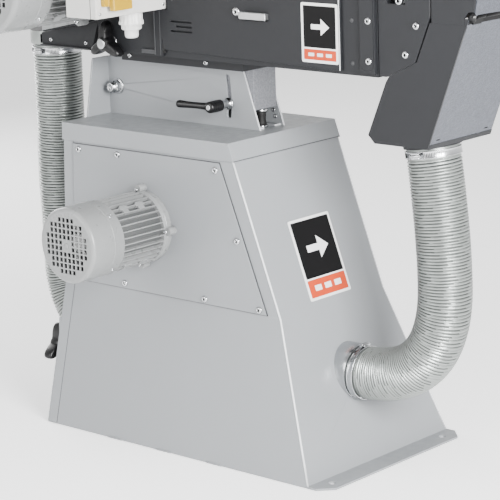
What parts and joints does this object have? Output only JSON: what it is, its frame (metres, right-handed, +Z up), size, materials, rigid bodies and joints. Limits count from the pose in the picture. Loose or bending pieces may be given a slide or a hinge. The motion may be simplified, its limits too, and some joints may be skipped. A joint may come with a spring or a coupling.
{
  "type": "belt grinder",
  "caption": "Contact-wheel belt grinder with tilting head, spark chute and hopper ducted to an extraction pedestal with its own fan, filter and dust drawer.",
  "frame": {"origin": "on the floor, under the middle of the floor bearer, midway between the front and rear rows of anchor holes", "axes": "+X towards the operator and the contact wheel, -Y the side with both motors, +Z up"},
  "size_m": [1.2439, 0.5924, 1.1052],
  "materials": {
    "abrasive": "coated abrasive",
    "black_plastic": "moulded",
    "black_rubber": "moulded",
    "bright_steel": "ground steel",
    "cast_alloy": "machined casting",
    "chute_paint": "dark blue-grey hammered powder coat",
    "duct_metal": "corrugated flexible duct",
    "filter_media": "pleated",
    "green_plastic": "moulded",
    "head_paint": "dark grey powder coat",
    "ivory_plastic": "moulded",
    "label_print": "printed plate",
    "motor_paint": "light grey gloss enamel",
    "panel_paint": "fine-textured grey powder coat",
    "pedestal_paint": "fine-textured light grey powder coat",
    "red_plastic": "moulded",
    "tyre_rubber": "serrated tyre",
    "white_plastic": "moulded",
    "yellow_plastic": "moulded",
    "zinc_steel": "zinc plated"
  },
  "bodies": {
    "pedestal": {"base_front_wall": "pedestal_paint", "base_rear_wall": "pedestal_paint", "base_near_side": "pedestal_paint", "base_far_side": "pedestal_paint", "base_lid": "pedestal_paint", "base_decks": "pedestal_paint", "motor_panel": "panel_paint", "filter_cassette": "filter_media", "rear_hatch": "pedestal_paint", "front_hose": "duct_metal", "rear_hose": "duct_metal", "base_spigots": "zinc_steel", "base_hose_clamps": "zinc_steel", "fan_motor_shield": "motor_paint", "fan_motor_housing": "motor_paint", "fan_motor_cowl": "motor_paint", "fan_terminal_box": "motor_paint", "fan_volute": "zinc_steel", "cradle_plates": "pedestal_paint", "pivot_bolt": "bright_steel", "keel_buffer": "black_rubber", "base_screws": "zinc_steel", "front_label": "label_print"},
    "fan_rotor": {"fan_shaft": "bright_steel", "fan_impeller": "cast_alloy"},
    "drawer": {"dust_drawer": "pedestal_paint"},
    "near_hatch_knob": {"hatch_knob_near": "black_plastic"},
    "far_hatch_knob": {"hatch_knob_far": "black_plastic"},
    "head": {"head_keel": "chute_paint", "head_backbone": "head_paint", "near_covers": "head_paint", "contact_arm": "head_paint", "abrasive_belt": "abrasive", "platen": "bright_steel", "rear_hopper": "head_paint", "spark_chute": "chute_paint", "head_hose_clamps": "zinc_steel", "rest_arms": "head_paint", "motor_plate": "motor_paint", "drive_motor_shield": "motor_paint", "drive_motor_housing": "motor_paint", "drive_motor_cowl": "motor_paint", "drive_terminal_box": "motor_paint", "switch_box": "ivory_plastic", "switch_collar": "yellow_plastic", "cable_gland": "white_plastic", "head_screws": "zinc_steel", "head_label": "label_print"},
    "chute_flap": {"chute_flap": "chute_paint"},
    "work_rest": {"work_rest": "bright_steel"},
    "contact_wheel": {"contact_hub": "cast_alloy", "contact_tyre": "tyre_rubber"},
    "drive_rotor": {"drive_shaft": "bright_steel", "drive_wheel": "cast_alloy"},
    "start_button": {"start_button": "green_plastic"},
    "stop_button": {"stop_button": "red_plastic"},
    "hopper_knob": {"hopper_knob": "black_plastic"},
    "clamp_lever": {"clamp_lever": "black_plastic"},
    "far_door": {"far_door": "head_paint"},
    "top_cover": {"top_cover": "head_paint"}
  },
  "joints": [
    {"name": "head_tilt", "type": "hinge", "parent": "pedestal", "child": "head", "pos_m": [-0.282, 0, 0.656], "axis": [0, -1, 0], "range_deg": [0, 9], "deforming": ["front_hose", "rear_hose"]},
    {"name": "fan_spin", "type": "hinge", "parent": "pedestal", "child": "fan_rotor", "pos_m": [-0.096, -0.2, 0.421], "axis": [0, 1, 0], "continuous": true},
    {"name": "drawer_slide", "type": "slide", "parent": "pedestal", "child": "drawer", "axis": [0, 1, 0], "range_m": [0, 0.26]},
    {"name": "near_hatch_knob_turn", "type": "hinge", "parent": "pedestal", "child": "near_hatch_knob", "pos_m": [-0.34, -0.15, 0.146], "axis": [1, 0, 0], "continuous": true},
    {"name": "far_hatch_knob_turn", "type": "hinge", "parent": "pedestal", "child": "far_hatch_knob", "pos_m": [-0.34, 0.15, 0.146], "axis": [1, 0, 0], "continuous": true},
    {"name": "contact_spin", "type": "hinge", "parent": "head", "child": "contact_wheel", "pos_m": [0.5, 0, 0.955], "axis": [0, 1, 0], "continuous": true},
    {"name": "drive_spin", "type": "hinge", "parent": "head", "child": "drive_rotor", "pos_m": [-0.29, 0, 0.885], "axis": [0, 1, 0], "continuous": true},
    {"name": "flap_swing", "type": "hinge", "parent": "head", "child": "chute_flap", "pos_m": [0.627, 0, 0.852], "axis": [0, 1, 0], "range_deg": [0, 60]},
    {"name": "rest_tilt", "type": "hinge", "parent": "head", "child": "work_rest", "pos_m": [0.668, 0, 0.915], "axis": [0, 1, 0], "range_deg": [-8, 30]},
    {"name": "start_press", "type": "slide", "parent": "head", "child": "start_button", "axis": [-1, 0, 0], "range_m": [0, 0.0035], "stiffness_N_per_m": 900, "springref_m": -0.002},
    {"name": "stop_press", "type": "slide", "parent": "head", "child": "stop_button", "axis": [-1, 0, 0], "range_m": [0, 0.005], "stiffness_N_per_m": 900, "springref_m": -0.002},
    {"name": "hopper_knob_turn", "type": "hinge", "parent": "head", "child": "hopper_knob", "pos_m": [-0.225, -0.1, 0.755], "axis": [0, 1, 0], "continuous": true},
    {"name": "clamp_turn", "type": "hinge", "parent": "head", "child": "clamp_lever", "pos_m": [0.013, -0.07, 0.646], "axis": [0, 1, 0], "range_deg": [-15, 45]},
    {"name": "door_swing", "type": "hinge", "parent": "head", "child": "far_door", "pos_m": [-0.427, 0.095, 0.87], "axis": [0, 0, 1], "range_deg": [0, 100]},
    {"name": "cover_swing", "type": "hinge", "parent": "head", "child": "top_cover", "pos_m": [-0.06, 0, 1.05038], "axis": [0, -1, 0], "range_deg": [0, 95]}
  ],
  "couplings": [
    {"joint": "drive_spin", "follows": "contact_spin", "ratio": 1.4646}
  ]
}
